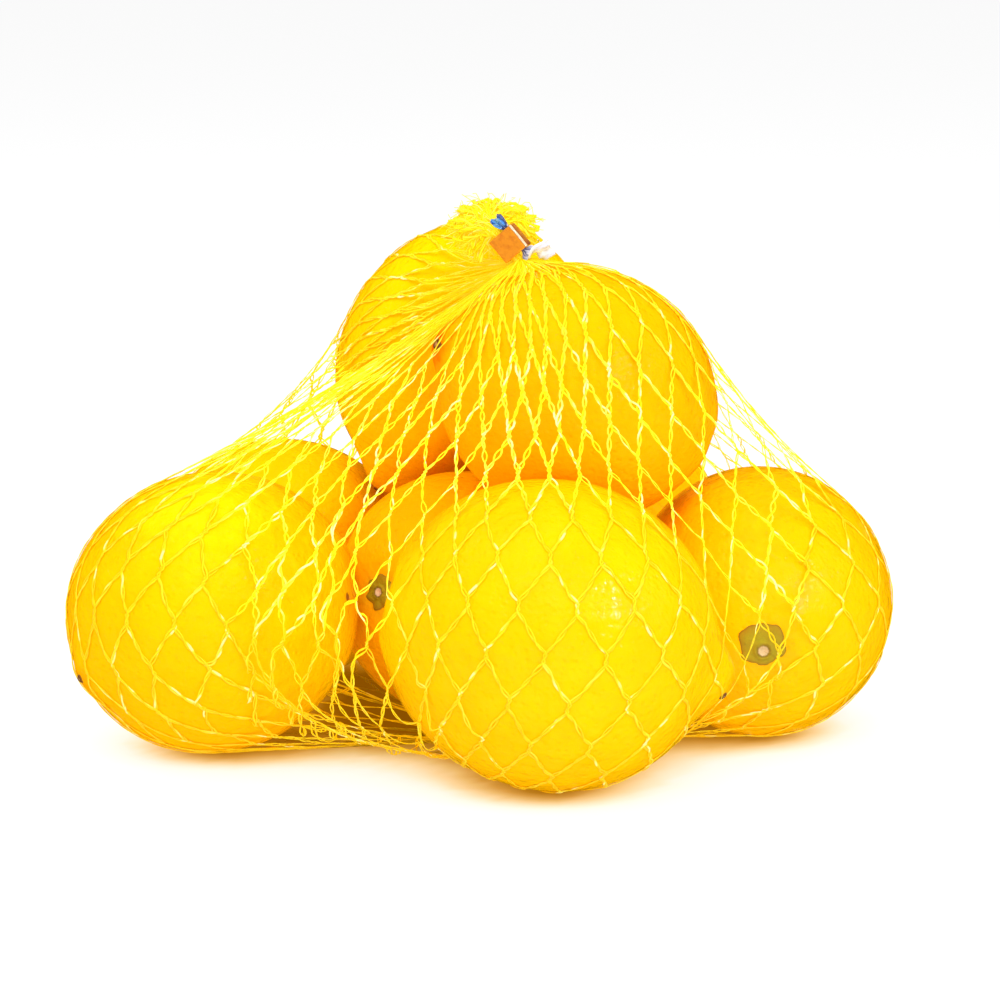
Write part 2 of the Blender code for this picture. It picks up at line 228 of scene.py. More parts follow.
def peel_material(name, green, marks=()):
    """Waxy lemon peel. Each mark is a place in mm, its radius, how soft its rim is and its colour."""
    base = np.array([0.97, green, 0.0004])
    m = Nodes(name)
    where = m.add("ShaderNodeTexCoord").outputs["Object"]
    broad = m.noise(where, 34.0, 2.0)
    fine = m.noise(where, 420.0, 3.0, 0.6)
    colour = m.ramp(broad, [(0.30, tuple(base * (1, 0.93, 1))), (0.52, tuple(base)), (0.75, tuple(base * (1, 1.07, 1)))])
    patchy = m.noise(where, 130.0, 3.0, 0.65)
    colour = m.mix(m.ramp(patchy, [(0.35, (0.35, 0.35, 0.35)), (0.65, (0, 0, 0))]), colour, tuple(base * (0.99, 0.80, 1)))
    colour = m.mix(m.math("MULTIPLY", fine, 0.12), colour, tuple(base * (0.97, 0.82, 1)))
    pores = m.add("ShaderNodeTexVoronoi", feature="F1")
    pores.inputs["Scale"].default_value = 620.0
    m.link(where, pores.inputs["Vector"])
    pit = m.ramp(pores.outputs["Distance"], [(0.0, (0, 0, 0)), (0.42, (1, 1, 1))], "EASE")
    colour = m.mix(m.math("MULTIPLY", m.math("SUBTRACT", 1.0, pit), 0.06), colour, tuple(base * (0.95, 0.80, 1)))
    for place, radius, soft, shade in marks:
        gap = m.add("ShaderNodeVectorMath", operation="DISTANCE")
        m.link(where, gap.inputs[0])
        gap.inputs[1].default_value = tuple(np.asarray(place) * MM)
        ragged = m.math("ADD", gap.outputs["Value"], m.math("MULTIPLY", m.math("SUBTRACT", m.noise(where, 300.0, 3.0), 0.5), radius * MM * 0.9))
        strong = m.ramp(m.math("MULTIPLY", ragged, 20.0), [(20 * MM * radius * (1 - soft), (1, 1, 1)), (20 * MM * radius, (0, 0, 0))], "EASE")
        colour = m.mix(strong, colour, shade)
    painted_shade = m.add("ShaderNodeAttribute", attribute_name="tint").outputs["Fac"]       # painted shade: 1 deep between two lemons, where the peel colour is darkened and its glow taken away
    colour = m.mix(painted_shade, colour, tuple(base * (0.80, 0.60, 1)))
    m.link(colour, m.shader.inputs["Base Color"])
    m.link(m.mix(painted_shade, colour, (0, 0, 0)), m.shader.inputs["Emission Color"])        # painted glow standing in for light that has gone through the rind, taken away where the painted shade is
    m.shader.inputs["Emission Strength"].default_value = PEEL_PAINTED_GLOW
    uneven = m.noise(where, 210.0, 2.0)
    height = m.math("ADD", m.math("MULTIPLY", pit, 0.38), m.math("MULTIPLY", uneven, 1.2))
    height = m.math("ADD", height, m.math("MULTIPLY", m.noise(where, 430.0, 1.0), 1.0))
    height = m.math("ADD", height, m.math("MULTIPLY", m.noise(where, 900.0, 2.0), 0.60))
    bump = m.bump(height, 0.70, 0.00046)
    m.link(bump.outputs[0], m.shader.inputs["Normal"])
    s = m.shader.inputs
    m.link(m.ramp(m.noise(where, 760.0, 2.0), [(0.45, (0.13, 0.13, 0.13)), (0.60, (0.085, 0.085, 0.085))]), s["Roughness"])
    s["Specular IOR Level"].default_value = 0.32 if name in ("peel_front", "peel_right") else 0.12
    return m.mat


def net_material(name, alpha, glow=0.22):
    """Thin glossy plastic thread with a painted glow: its emission stands in for light coming through it, so its
    shaded side stays bright.
    """
    m = Nodes(name)
    tint = m.add("ShaderNodeAttribute", attribute_name="tint").outputs["Fac"]
    # tint 0 is the painted shade of strands under the heap, tint 1 the cream of painted glints
    colour = m.ramp(tint, [(0.0, (0.42, 0.23, 0.0)), (0.16, (0.96, 0.61, 0.0)), (0.55, (0.96, 0.70, 0.003)), (0.85, (0.96, 0.79, 0.05)), (1.0, (0.98, 0.90, 0.30))])
    m.link(colour, m.shader.inputs["Base Color"])
    m.link(colour, m.shader.inputs["Emission Color"])
    s = m.shader.inputs
    s["Emission Strength"].default_value = glow
    s["Roughness"].default_value = 0.38
    s["Specular IOR Level"].default_value = 0.35
    if alpha < 1:
        s["Alpha"].default_value = alpha
    return m.mat


net_yellow = net_material("net_yellow", 1.0)
# a stronger painted glow for the gathered tuft and pleats, whose threads shade one another
net_matted = net_material("net_yellow_matted", 1.0, 0.29)
# the last material gives free strands high on the heap a strong painted glow
net_thin = [net_yellow, net_material("net_yellow_thin", 0.90), net_material("net_yellow_sheer", 0.80),
            net_material("net_yellow_painted_glow", 1.0, 0.46)]


# ============================================================= lemons as meshes
GREEN = {"front": 0.510, "left": 0.495, "right": 0.498, "middle": 0.455, "upper_right": 0.430,
         "upper_left": 0.565, "back_left": 0.590, "back_right": 0.500}         # more is a clearer yellow; partly each lemon's own tone, partly painted light and shade making up for how much light reaches it


BLEMISH = on_peel(lemons[1], (0.955, -0.262, 0.155))


def painted_shade_between_lemons(verts, own):
    """Painted shade: 0 on the open peel, 1 at points of one lemon that its neighbours close in on, where its peel is
    darkened.
    """
    out = unit_rows(verts - own.c)
    total = np.zeros(len(verts))
    for lemon in lemons:
        if lemon is not own:
            v = lemon.c - verts
            dist = np.linalg.norm(v, axis=1)
            size = 0.35 * lemon.half + 0.65 * lemon.radius
            total += np.maximum((v * out).sum(1) / dist, 0) * np.minimum(size / dist, 1) ** 2
    return np.clip((total - 0.72) / 0.42, 0, 1)


def lemon_mesh(lemon, around, down):
    t = np.linspace(0, 1, down + 1)
    theta = np.pi * (t - 0.055 * np.sin(4 * np.pi * t) / 1.0)      # closer rings near both ends
    theta = theta[1:-1]
    phi = np.linspace(0, 2 * np.pi, around, endpoint=False)
    T, P = np.meshgrid(theta, phi, indexing="ij")
    d = np.stack([np.sin(T) * np.cos(P), np.sin(T) * np.sin(P), np.cos(T)], -1)
    body = (d * lemon.reach(d)[..., None]).reshape(-1, 3)
    ends = np.array([[0, 0, 1.0], [0, 0, -1.0]])
    ends = ends * lemon.reach(ends)[:, None]
    verts = lemon.world(np.concatenate([body, ends]))
    rows = len(theta)
    a = np.arange(rows - 1)[:, None] * around + np.arange(around)[None]
    b = np.arange(rows - 1)[:, None] * around + (np.arange(around)[None] + 1) % around
    quads = np.stack([a, a + around, b + around, b], -1).reshape(-1, 4)
    k = np.arange(around)
    top = np.stack([np.full(around, rows * around), k, (k + 1) % around], -1)
    last = (rows - 1) * around
    bottom = np.stack([np.full(around, rows * around + 1), last + (k + 1) % around, last + k], -1)
    tip = lemon.world(ends[:1] * lemon.reach(np.array([[0, 0, 1.0]])) / np.linalg.norm(ends[0]))[0]
    butt = lemon.world(ends[1:])[0]
    marks = [(butt, 7.5, 0.7, (0.80, 0.42, 0.004))]
    if lemon.name == "upper_right":
        # painted shade: a deep orange round the nipple of this lemon, on its shaded neck
        marks.append((tip, 9.0, 0.9, (0.80, 0.17, 0.0)))
    else:
        marks.append((tip, 5.0, 0.8, (0.92, 0.36, 0.0)))
    if lemon.name == "left":                          # painted light: a clearer yellow on top and towards the middle of the heap, lightening where shade falls
        marks.append((on_peel(lemon, (0.93, -0.30, -0.10)), 26.0, 1.0, (0.97, 0.66, 0.001)))
        marks.append((on_peel(lemon, (-0.05, -0.35, 0.93)), 26.0, 1.0, (0.97, 0.62, 0.001)))
        marks.append((BLEMISH, 1.2, 0.5, (0.16, 0.06, 0.01)))
    return mesh_object("lemon_" + lemon.name, verts, [quads, top, bottom],
                       peel_material("peel_" + lemon.name, GREEN[lemon.name], marks), tints=painted_shade_between_lemons(verts, lemon))


for lemon in lemons:
    big = lemon.name in ("front", "left", "upper_right", "right")
    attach(lemon_mesh(lemon, 144 if big else 112, 96 if big else 76), "root")


# ================================================================ the net, in mm
WALES = 54                 # meshes round the tube
ROWS = 19                  # junctions from the neck to the closed base
SIDE = 9.75                # free length of strand between two junctions
LINK = 0.65                # length over which two strands are knitted together
SEGS = 4                   # rope segments in each free length
NET_GAP = 0.21             # from the peel to the middle of a strand
FLOOR_GAP = 0.30
NECK_IN = None

CLIP_MIDDLE = np.array([2.1, 52.0, 104.2]) + SHIFT
CLIP_AXIS = unit([-0.640, 0.147, 0.756])
face = np.array([-0.295, -0.952, -0.024])
CLIP_FACE = unit(face - CLIP_AXIS * (face @ CLIP_AXIS))
CLIP_SIDE = np.cross(CLIP_AXIS, CLIP_FACE)
NECK_OFF = -CLIP_SIDE * 0.90 + CLIP_FACE * 0.10
NECK_IN = CLIP_MIDDLE + NECK_OFF - CLIP_AXIS * 4.1
NECK_OUT = CLIP_MIDDLE + NECK_OFF + CLIP_AXIS * 3.4
BASE = np.array([2.0, 36.0, 1.6]) + SHIFT
MIDDLE = np.array([-2.0, 56.0, 0.0]) + SHIFT


def net_layout():
    """Point numbers of the junctions (upper and lower end of each) and of the strands between them."""
    n = WALES
    A = np.arange(ROWS * n).reshape(ROWS, n)
    B = A + ROWS * n
    base = 2 * ROWS * n
    E = base + np.arange(2 * (ROWS - 1) * n * (SEGS - 1)).reshape(2, ROWS - 1, n, SEGS - 1)
    nxt = np.empty((2, ROWS - 1, n), int)
    i = np.arange(n)
    for j in range(ROWS - 1):
        right = i if j % 2 == 0 else (i + 1) % n
        left = (i - 1) % n if j % 2 == 0 else i
        nxt[0, j], nxt[1, j] = right, left
    return A, B, E, nxt


def net_start(A, B, E, nxt):
    """The net before it is tightened: a wide bell round the heap, its base drawn together under it."""
    n = WALES
    total = 2 * ROWS * n + E.size
    pts = np.zeros((total, 3))
    for j in range(ROWS):
        for which, ids in ((0, A), (1, B)):
            t = (j + 0.16 * which) / (ROWS - 1 + 0.16)
            ang = 2 * np.pi * (np.arange(n) + 0.5 * (j % 2)) / n + SPIN + TWIST * t
            ang = ang + CROWD * np.sin(ang - CROWD_AT)
            for at, turn, wide in TURNS:              # the net was pulled askew here
                away = (ang - at + np.pi) % (2 * np.pi) - np.pi
                ang = ang + turn * np.exp(-(away / wide) ** 2) * np.clip((t - 0.34) / 0.36, 0, 1)
            out = 1.1 + 128 * np.sin(np.pi * min(t / 0.66, 1.0) / 2) ** 1.15 if t < 0.66 else 129.1 * ((1 - t) / 0.34) ** 0.9 + 0.8
            lift = NECK_IN[2] + 9 * np.sin(np.pi * min(t / 0.3, 1.0)) * 0 - (NECK_IN[2] - FLOOR_GAP) * np.clip((t - 0.02) / 0.66, 0, 1) ** 1.5
            mid = NECK_IN * (1 - min(t / 0.3, 1)) + MIDDLE * min(t / 0.3, 1)
            if t > 0.66:
                f = (t - 0.66) / 0.34
                mid = MIDDLE * (1 - f) + BASE * f
            pts[ids[j], 0] = mid[0] + out * np.cos(ang)
            pts[ids[j], 1] = mid[1] + out * np.sin(ang)
            pts[ids[j], 2] = lift if t < 0.66 else FLOOR_GAP + (BASE[2] - FLOOR_GAP) * ((t - 0.66) / 0.34) ** 8
    for f in range(2):
        for j in range(ROWS - 1):
            a, b = pts[B[j]], pts[A[j + 1][nxt[f, j]]]
            for k in range(SEGS - 1):
                w = (k + 1) / SEGS
                pts[E[f, j, :, k]] = a * (1 - w) + b * w
    for ids, back, grow in ((A[0], 0.0, 1.0), (B[0], 1.4, 1.25)):      # the neck, gathered by the clip
        ang = 2 * np.pi * np.arange(n) / n + SPIN
        way = np.stack([np.cos(ang), np.sin(ang), 0 * ang], -1)
        a2 = np.arctan2(way @ CLIP_FACE / 0.75, way @ CLIP_SIDE)
        pts[ids] = (NECK_IN - CLIP_AXIS * back + np.outer(np.cos(a2), CLIP_SIDE) * 1.15 * grow
                    + np.outer(np.sin(a2), CLIP_FACE) * 0.65 * grow)
    return pts


SPIN, TWIST, CROWD, CROWD_AT = 0.05, 0.0, 0.22, 0.0
TURNS = [(-1.30, -0.34, 0.60), (-3.10, 0.06, 0.42), (-2.25, -0.20, 0.35)]
SLACK_AT, SLACK_WIDE = -2.06, 0.26
MU = 0.55
DRAW_IN = 0.004
KINK = 0.006


def slackness(pts, B):
    """How much longer each strand is than the others, (2, rows, wales): more in the loose part."""
    start = pts[B[:-1]]
    ang = np.arctan2(start[..., 1] - MIDDLE[1], start[..., 0] - MIDDLE[0])
    away = (ang - SLACK_AT + np.pi) % (2 * np.pi) - np.pi
    row = np.arange(ROWS - 1)[:, None]
    here = np.exp(-(away / SLACK_WIDE) ** 2) * np.clip((row - 8.5) / 2.0, 0, 1) * np.clip((12.0 - row) / 1.5, 0, 1)
    more = 0.05 * rng.uniform(-1, 1, (2,) + here.shape)
    low = np.exp(-(away / 0.42) ** 2) * np.clip(row - 11.5, 0, 1) * np.clip(16.0 - row, 0, 1)      # taut again at the foot
    return 1 + more - 0.20 * low[None] + here[None] * rng.uniform(0.0, 0.16, (2,) + here.shape)


def tighten(pts, A, B, E, nxt, steps):
    long_ = slackness(pts, B)
    seg = long_ * SIDE / SEGS
    groups = [(A.ravel(), B.ravel(), LINK)]
    for f in range(2):
        groups.append((B[:-1].ravel(), E[f, :, :, 0].ravel(), seg[f].ravel()))
    for k in range(SEGS - 2):
        groups.append((E[:, :, :, k].ravel(), E[:, :, :, k + 1].ravel(), seg.ravel()))
    for f in range(2):
        target = np.stack([A[j + 1][nxt[f, j]] for j in range(ROWS - 1)])
        groups.append((E[f, :, :, SEGS - 2].ravel(), target.ravel(), seg[f].ravel()))
    fixed = np.zeros(len(pts), bool)
    fixed[A[0]] = True
    fixed[B[-1]] = True
    free = np.where(fixed, 0.0, 1.0)
    old = pts.copy()
    ang = np.arctan2(pts[:, 1] - MIDDLE[1], pts[:, 0] - MIDDLE[0])
    away = (ang - SLACK_AT + np.pi) % (2 * np.pi) - np.pi
    loose = free * np.exp(-(away / (1.3 * SLACK_WIDE)) ** 2) * np.clip((58 - pts[:, 2]) / 12, 0, 1) * np.clip((pts[:, 2] - 14) / 10, 0, 1)
    kinks = rng.normal(size=pts.shape) * loose[:, None] * KINK
    for step in range(steps):
        move = (pts - old) * (0.90 if step < steps * 0.6 else 0.6)
        old = pts.copy()
        pts = pts + np.clip(move, -2, 2) * free[:, None]
        pts[:, 2] -= 0.004 * free
        inward = MIDDLE[:2] - pts[:, :2]
        pts[:, :2] += loose[:, None] * DRAW_IN * unit_rows(inward)
        pts += kinks
        for _ in range(3):
            for a, b, rest in groups:
                d = pts[b] - pts[a]
                length = np.linalg.norm(d, axis=1)
                wa, wb = free[a], free[b]
                pull = np.maximum(length - rest, 0) / np.maximum(length, 1e-6) / np.maximum(wa + wb, 1e-6)
                pts[a] += d * (pull * wa)[:, None]
                pts[b] -= d * (pull * wb)[:, None]
        touching = np.zeros(len(pts), bool)
        facing = np.zeros_like(pts)
        press = np.zeros(len(pts))
        for lemon in lemons:
            v = pts - lemon.c
            near = np.flatnonzero((v * v).sum(1) < (lemon.half + lemon.nipple + 2.0) ** 2)
            if not len(near):
                continue
            q = lemon.local(pts[near])
            dist = np.linalg.norm(q, axis=1)
            d = q / np.maximum(dist, 1e-6)[:, None]
            want = lemon.reach(d) + NET_GAP
            inside = dist < want
            if inside.any():
                ids = near[inside]
                new = lemon.world(d[inside] * want[inside][:, None])
                ok = ~fixed[ids]
                pts[ids[ok]] = new[ok]
                press[ids[ok]] += (want - dist)[inside][ok]
                touching[ids[ok]] = True
                facing[ids[ok]] = unit_rows(new[ok] - lemon.c)
        low = pts[:, 2] < FLOOR_GAP
        pts[low, 2] = FLOOR_GAP
        facing[low] = (0, 0, 1)
        touching |= low
        t = np.flatnonzero(touching)                  # the peel grips the net
        slide = pts[t] - old[t]
        slide = slide - facing[t] * (slide * facing[t]).sum(1, keepdims=True)
        hold = np.minimum(MU * press[t] / np.maximum(np.linalg.norm(slide, axis=1), 1e-6), 1.0)
        pts[t] -= slide * (GRIP + (1 - GRIP) * hold)[:, None]
        old[t] += (pts[t] - old[t]) * 0.7
    return pts


GRIP = 0.35
A, B, E, nxt = net_layout()
pts = net_start(A, B, E, nxt)
pts = tighten(pts, A, B, E, nxt, 260)


RING = np.array([lemon.c[:2] for lemon in lemons if lemon.name in ("front", "right", "back_right", "back_left", "left")])
RING = np.where(RING[:, 1:] > 20, MIDDLE[:2] + (RING - MIDDLE[:2]) * 1.5, RING)
RING = RING[np.argsort(np.arctan2(RING[:, 1] - MIDDLE[1], RING[:, 0] - MIDDLE[0]))]


def depth_inside(p):
    """How far inside the ring of resting places a point of the table is, in mm; outside it is negative."""
    xy = p[:, :2] / MM
    best = np.full(len(xy), 1e9)
    for a, b in zip(RING, np.roll(RING, -1, axis=0)):
        run = unit(b - a)
        best = np.minimum(best, (xy - a) @ np.array([-run[1], run[0]]))
    return best


# ----------------------------------------------------- strands as knitted thread
def strand_paths(A, B, E, nxt):
    """Point numbers along each strand, from the neck to the base: (2, wales, points)."""
    paths = np.empty((2, WALES, (ROWS - 1) * (SEGS + 1) + 2), int)
    for f in range(2):
        i = np.arange(WALES)
        col = 0
        for j in range(ROWS):
            paths[f, :, col] = A[j, i]
            paths[f, :, col + 1] = B[j, i]
            col += 2
            if j < ROWS - 1:
                for k in range(SEGS - 1):
                    paths[f, :, col] = E[f, j, i, k]
                    col += 1
                i = nxt[f, j][i]
    return paths


def smooth_path(p, subs):
    """Catmull-Rom through p (strands, points, 3), with subs[k] steps in segment k."""
    before = np.concatenate([2 * p[:, :1] - p[:, 1:2], p[:, :-2]], 1)
    a, b = p[:, :-1], p[:, 1:]
    after = np.concatenate([p[:, 2:], 2 * p[:, -1:] - p[:, -2:-1]], 1)
    out, where = [], []
    for k, n in enumerate(subs):
        for m in range(n):
            t = m / n
            q = 0.5 * (2 * a[:, k] + (b[:, k] - before[:, k]) * t
                       + (2 * before[:, k] - 5 * a[:, k] + 4 * b[:, k] - after[:, k]) * t * t
                       + (3 * a[:, k] - before[:, k] - 3 * b[:, k] + after[:, k]) * t ** 3)
            out.append(q)
            where.append(k + t)
    out.append(p[:, -1])
    where.append(float(len(subs)))
    return np.stack(out, 1), np.array(where)


def outward(p):
    """Which way is out of the net at points p (n, 3)."""
    total = 0.10 * unit_rows(p - (MIDDLE + np.array([0, 0, 40.0])))
    for lemon in lemons:
        q = lemon.local(p)
        dist = np.linalg.norm(q, axis=1)
        d = q / dist[:, None]
        gap = dist - lemon.reach(d)
        w = np.exp(-np.maximum(gap, 0) / 3.0)
        normal = d / np.array([lemon.radius ** 2, lemon.radius ** 2, lemon.half ** 2]) * 1000
        world = unit_rows(normal[:, :1] * lemon.x + normal[:, 1:2] * lemon.y + normal[:, 2:3] * lemon.z)
        total = total + world * w[:, None]
    return unit_rows(total)


def lifted(p):
    """0 where points p (n, 3) lie on a lemon or the table, 1 where they hang free."""
    gap = p[:, 2].copy()
    for lemon in lemons:
        q = lemon.local(p)
        dist = np.linalg.norm(q, axis=1)
        gap = np.minimum(gap, dist - lemon.reach(q / dist[:, None]))
    return np.clip((gap - 0.45) / 1.2, 0, 1)


def tubes(centre, side, normal, half_w, half_t, sides=4):
    """Tubes along centre (n, s, 3), of oval section half_w by half_t (n, s). Returns verts, faces."""
    n, s = centre.shape[:2]
    ang = np.arange(sides) * 2 * np.pi / sides
    ring = (centre[:, :, None]
            + side[:, :, None] * (half_w[:, :, None] * np.cos(ang))[..., None]
            + normal[:, :, None] * (half_t[:, :, None] * np.sin(ang))[..., None])
    verts = ring.reshape(-1, 3)
    base = (np.arange(n)[:, None, None] * s + np.arange(s - 1)[None, :, None]) * sides
    k = np.arange(sides)[None, None]
    a, b = base + k, base + (k + 1) % sides
    quads = np.stack([a, b, b + sides, a + sides], -1).reshape(-1, 4)
    first = np.arange(n)[:, None] * s * sides + np.arange(sides)[None]
    last = first + (s - 1) * sides
    if sides == 4:
        caps = [np.concatenate([quads, first[:, ::-1], last])]
    elif sides == 3:
        caps = [quads, np.concatenate([first[:, ::-1], last])]
    else:
        caps = [quads, np.concatenate([first[:, ::-1], last])]
    return verts, caps


def frames_along(p, out):
    tangent = np.gradient(p, axis=1)
    tangent = unit_rows(tangent)
    side = unit_rows(np.cross(tangent, out))
    normal = np.cross(side, tangent)
    return side, normal


paths = strand_paths(A, B, E, nxt)
per_row = [2] + [3] * SEGS
subs = per_row * (ROWS - 1) + [2]
for f in range(2):
    p, where = smooth_path(pts[paths[f]], subs)
    n, s = p.shape[:2]
    out = outward(p.reshape(-1, 3)).reshape(p.shape)
    side, normal = frames_along(p, out)
    in_row = where % (SEGS + 1)                      # 0..1 is the knitted join, then the free strand
    row = np.floor(where / (SEGS + 1)).astype(int)
    free_t = np.clip((in_row - 1) / SEGS, 0, 1)       # 0..1 along the free strand
    on_link = in_row < 1
    sign = 1 if f == 0 else -1
    # where the two strands of a join lie beside each other
    shift = np.where(on_link, sign * 0.30 * (2 * in_row - 1) * 1.0, 0.0)
    edge_in = np.clip(1 - free_t * SEGS / 1.0, 0, 1)
    edge_out = np.clip(1 - (1 - free_t) * SEGS / 1.0, 0, 1)
    shift = np.where(on_link, shift, sign * 0.30 * (edge_in - edge_out))
    height = np.where(on_link, (0.06 if f == 0 else -0.02), 0.0)
    taper = np.clip(where / 6.0, 0, 1) ** 0.7         # drawn together towards the neck
    taper_end = np.clip((where[-1] - where) / 5.0, 0, 1) ** 0.7
    taper = np.minimum(taper, taper_end)
    # knitting: the two threads cross at each stitch
    stitch = free_t * 3 + row * 3
    seeds = rng.uniform(0.0, 1.0, (n, ROWS * 3 + 4))
    idx = np.clip(np.floor(stitch + 1e-6).astype(int), 0, ROWS * 3 + 3)
    openness = seeds[:, idx]
    free = lifted(p.reshape(-1, 3)).reshape(n, s)
    width = (0.17 + 0.13 * openness) * (1 - free) + (0.20 + 0.36 * openness ** 1.4) * free
    phase = np.pi * stitch[None] + 0 * openness
    wob = rng.uniform(-0.12, 0.12, (n, s))
    w = 0.5 * (np.roll(wob, 1, 1) + wob)
    for m, sgn in ((0, 1.0), (1, -1.0)):
        u = shift[None] + sgn * (width * np.sin(phase) + 0.05) + 0.10 * w
        v = height[None] + sgn * 0.065 * np.cos(phase)
        c = p + side * (u * taper)[..., None] + normal * (v * (0.4 + 0.6 * taper))[..., None]
        c[..., 2] = np.maximum(c[..., 2], 0.16)
        sd, nm = frames_along(c, out)
        hw = (0.250 - 0.055 * free) * (0.80 + 0.40 * rng.uniform(size=(n, 1)))
        ht = np.full((n, s), 0.070)
        verts, faces = tubes(c, sd, nm, hw, ht)
        grain = 0.30 * rng.normal(size=(n, s))
        for _ in range(3):
            grain = (np.roll(grain, 1, 1) + grain + np.roll(grain, -1, 1)) / 3
        painted_glint = (rng.uniform(size=(n, s)) < 0.020).astype(float)             # painted glints: short pale stretches of thread
        painted_glint = np.maximum(painted_glint, np.maximum(np.roll(painted_glint, 1, 1), np.roll(painted_glint, -1, 1) * 0.8))
        tone = np.clip(0.42 + grain * 1.45 + painted_glint * 0.8, 0.16, 1)
        under = np.clip((7 - c[..., 2]) / 5, 0, 1) * np.clip(depth_inside(c.reshape(-1, 3) * MM).reshape(n, s) / 8, 0, 1)
        # painted light: strands hanging free high on the heap are made paler
        tone = tone + 0.20 * free * np.clip((c[..., 2] - 30) / 10, 0, 1)
        tone = tone * (1 - under)                       # painted shade: the strands under the heap are darkened
        tint = np.repeat(np.clip(tone, 0, 1)[:, :, None], 4, 2)
        level = np.tile(np.where(row < 3, 0, np.where(row < 5, 1, 2))[:-1], (n, 1))
        level[(free[:, :-1] > 0.6) & (c[:, :-1, 2] > 36) & (row[:-1] > 2)] = 3       # painted glow: these free strands get the strongest glow, standing in for light coming through them
        pick = np.concatenate([np.repeat(level.ravel(), 4), np.zeros(2 * n, int)])
        ob = mesh_object("net_strands_%s_%s" % ("ab"[f], "12"[m]), verts, faces, net_thin, tints=tint, pick=pick)
        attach(ob, "root")
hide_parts("net_bag")


# ------------------------------------------------- thread bundles, ends and tufts
def thread_group(name, paths, half_w, half_t, material, tone, out_dir=None, sides=4):
    """Threads along paths (n, s, 3)."""
    if out_dir is None:
        out_dir = np.broadcast_to(np.array([0.3, -0.8, 0.5]), paths.shape)
    sd, nm = frames_along(paths, out_dir)
    n, s2 = paths.shape[:2]
    hw = np.broadcast_to(half_w, (n, s2)).copy()
    ht = np.broadcast_to(half_t, (n, s2)).copy()
    verts, faces = tubes(paths, sd, nm, hw, ht, sides)
    tint = np.repeat(np.clip(np.broadcast_to(tone, (n, s2)), 0, 1)[:, :, None], sides, 2)
    return mesh_object(name, verts, faces, material, tints=tint)


def in_clip(p, grow=0.25):
    """Which points lie in the folded band."""
    v = p - CLIP_MIDDLE
    u, f, a = v @ CLIP_SIDE, v @ CLIP_FACE, v @ CLIP_AXIS
    return (np.abs(u) < 3.2 + grow) & (np.abs(f) < 1.85 + grow) & (np.abs(a) < 2.85 + grow)


def neck_piece():
    """The gathered net where it goes through the clip: a bundle of threads round an empty middle."""
    n, s2 = 54, 16
    ang = rng.uniform(0, 2 * np.pi, n)
    rad = np.sqrt(rng.uniform(0.25, 1, n))
    t = np.linspace(-1.6, 8.2, s2)
    twist = rng.normal(0, 0.10, n)
    pull = np.interp(t, [-1.6, 0.6, 7.2, 8.2], [1.35, 1.0, 1.0, 1.3])
    a = ang[:, None] + twist[:, None] * t[None]
    r = rad[:, None] * pull[None] * (1 + 0.05 * rng.normal(size=(n, s2)))
    p = (NECK_IN + CLIP_AXIS * t[None, :, None] + CLIP_SIDE * (1.10 * r * np.cos(a))[..., None]
         + CLIP_FACE * (0.60 * r * np.sin(a))[..., None])
    return thread_group("net_neck", p, 0.20, 0.14, net_yellow, 0.45 + 0.1 * rng.normal(size=(n, 1)))


def tuft_piece(name, count, middle, radii, half_w, half_t, curl, tone, sides, doubles, seed):
    """The net's frayed end: threads that leave the clip and open into a ragged flower behind it."""
    r = np.random.default_rng(seed)
    steps = 14
    f = np.linspace(0, 1, steps)[:, None]
    kept = []
    for _ in range(count * 12):
        if len(kept) >= count:
            break
        start = NECK_OUT + CLIP_AXIS * 0.1 + CLIP_SIDE * r.uniform(-1, 1) * 0.95 + CLIP_FACE * r.uniform(-1, 1) * 0.5
        target = middle + radii * unit(r.normal(size=3)) * r.uniform(0.30, 1.0) ** 0.6
        c1 = start + CLIP_AXIS * r.uniform(1.2, 3.2) + r.normal(size=3) * 0.6
        c2 = start * 0.4 + target * 0.6 + np.array([0, 1.6, 2.2]) * r.uniform(0.3, 1.3) + r.normal(size=3) * 1.5
        path = (1 - f) ** 3 * start + 3 * (1 - f) ** 2 * f * c1 + 3 * (1 - f) * f ** 2 * c2 + f ** 3 * target
        for _ in range(2):
            k = r.uniform(4, 13)
            path = path + curl * f * np.sin(k * f + r.uniform(0, 6.28)) * r.normal(size=3)
        v = path - CLIP_MIDDLE
        low_front = ((v @ CLIP_FACE) > 0.2) & ((v @ CLIP_AXIS) < 5.0)
        if in_clip(path[1:]).any() or low_front[2:].any() or (path[:, 2] > 117.5).any() or path_hits_lemon(path):
            continue
        kept.append(path)
    p = np.array(kept)
    groups = [p]
    if doubles:
        lead = np.array([0.3, -0.8, 0.5])
        sd, nm = frames_along(p, np.broadcast_to(lead, p.shape))
        ph = r.uniform(0, 6.28, (len(p), 1)) + np.linspace(0, 1, steps)[None] * np.pi * 3.6
        w = 0.26 * np.sin(ph)
        v = 0.12 * np.cos(ph)
        groups = [p + sd * w[..., None] + nm * v[..., None], p - sd * w[..., None] - nm * v[..., None]]
    p = np.concatenate(groups)
    return thread_group(name, p, half_w, half_t, net_matted, tone + 0.09 * r.normal(size=(len(p), 1)), sides=sides)


def path_hits_lemon(path):
    for lemon in lemons:
        q = lemon.local(path)
        dist = np.linalg.norm(q, axis=1)
        if (dist < lemon.reach(q / dist[:, None]) + 0.2).any():
            return True
    return False


